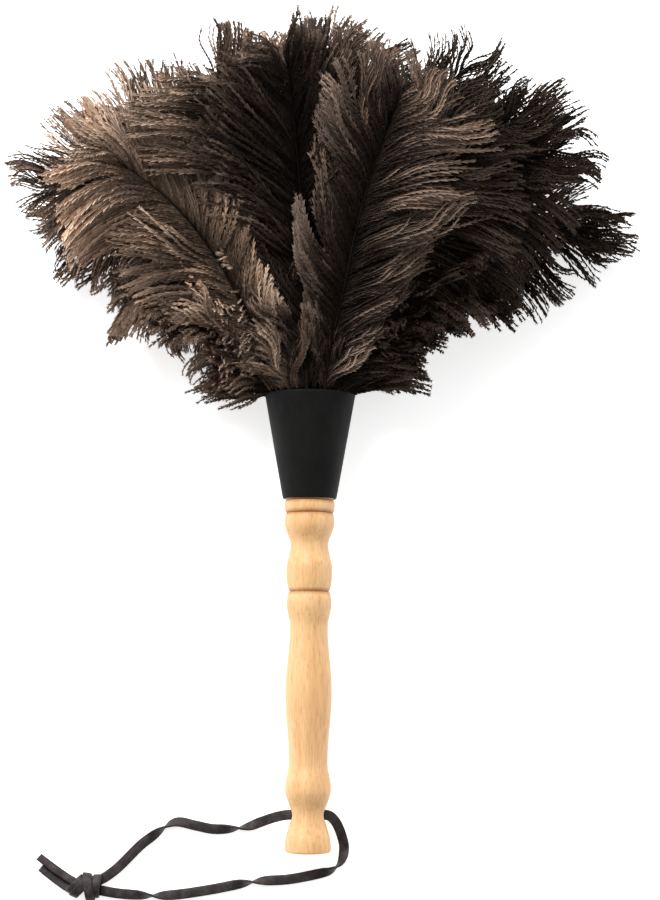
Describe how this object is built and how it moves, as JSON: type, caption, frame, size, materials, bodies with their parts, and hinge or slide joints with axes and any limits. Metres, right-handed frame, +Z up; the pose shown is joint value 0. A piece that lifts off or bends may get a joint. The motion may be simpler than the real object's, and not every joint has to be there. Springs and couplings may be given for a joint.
{
  "type": "feather duster",
  "caption": "Ostrich feather duster with a turned pale wood handle, a black cone sleeve and a tied leather lace through the handle's end, lying on a surface.",
  "frame": {"origin": "on the surface the duster lies on, under the middle of the handle and head together", "axes": "+Y from the handle's butt to the feather head, +Z up, +X to the right with the head pointing away"},
  "size_m": [0.2812, 0.408, 0.1351],
  "materials": {
    "handle_wood": "pale beech, turned and sanded, satin",
    "sleeve_black": "matt black",
    "binding_thread": "wound cotton thread",
    "lace_leather": "dark brown suede lace",
    "plume_taupe": "light taupe ostrich plume with pale tips",
    "plume_brown": "brown ostrich plume with paler tips",
    "plume_dark": "near-black ostrich plume"
  },
  "bodies": {
    "root": {"handle": "handle_wood", "sleeve": "sleeve_black", "binding_core": "binding_thread", "binding_inner": "binding_thread", "binding_middle": "binding_thread", "binding_outer": "binding_thread", "feather_core_01": "plume_dark", "feather_core_02": "plume_brown", "feather_core_03": "plume_dark", "feather_core_04": "plume_brown", "feather_core_05": "plume_dark", "feather_core_06": "plume_brown", "feather_inner_01": "plume_dark", "feather_inner_02": "plume_brown", "feather_inner_03": "plume_brown", "feather_inner_04": "plume_dark", "feather_inner_05": "plume_dark", "feather_inner_06": "plume_brown", "feather_inner_07": "plume_dark", "feather_inner_08": "plume_brown", "feather_inner_09": "plume_dark", "feather_inner_10": "plume_brown", "feather_middle_01": "plume_brown", "feather_middle_02": "plume_dark", "feather_middle_03": "plume_brown", "feather_middle_04": "plume_dark", "feather_middle_05": "plume_brown", "feather_middle_06": "plume_dark", "feather_middle_07": "plume_brown", "feather_middle_08": "plume_dark", "feather_middle_09": "plume_brown", "feather_middle_10": "plume_brown", "feather_middle_11": "plume_dark", "feather_middle_12": "plume_dark", "feather_outer_01": "plume_dark", "feather_outer_02": "plume_dark", "feather_outer_03": "plume_brown", "feather_outer_04": "plume_taupe", "feather_outer_05": "plume_brown", "feather_outer_06": "plume_brown", "feather_outer_07": "plume_dark", "feather_outer_08": "plume_brown", "feather_outer_09": "plume_dark", "feather_outer_10": "plume_brown", "feather_outer_11": "plume_brown", "feather_outer_12": "plume_dark", "feather_outer_13": "plume_dark", "feather_outer_14": "plume_dark", "lace_left": "lace_leather", "lace_right": "lace_leather", "lace_knot": "lace_leather", "lace_tail_long": "lace_leather", "lace_tail_short": "lace_leather"}
  },
  "joints": []
}
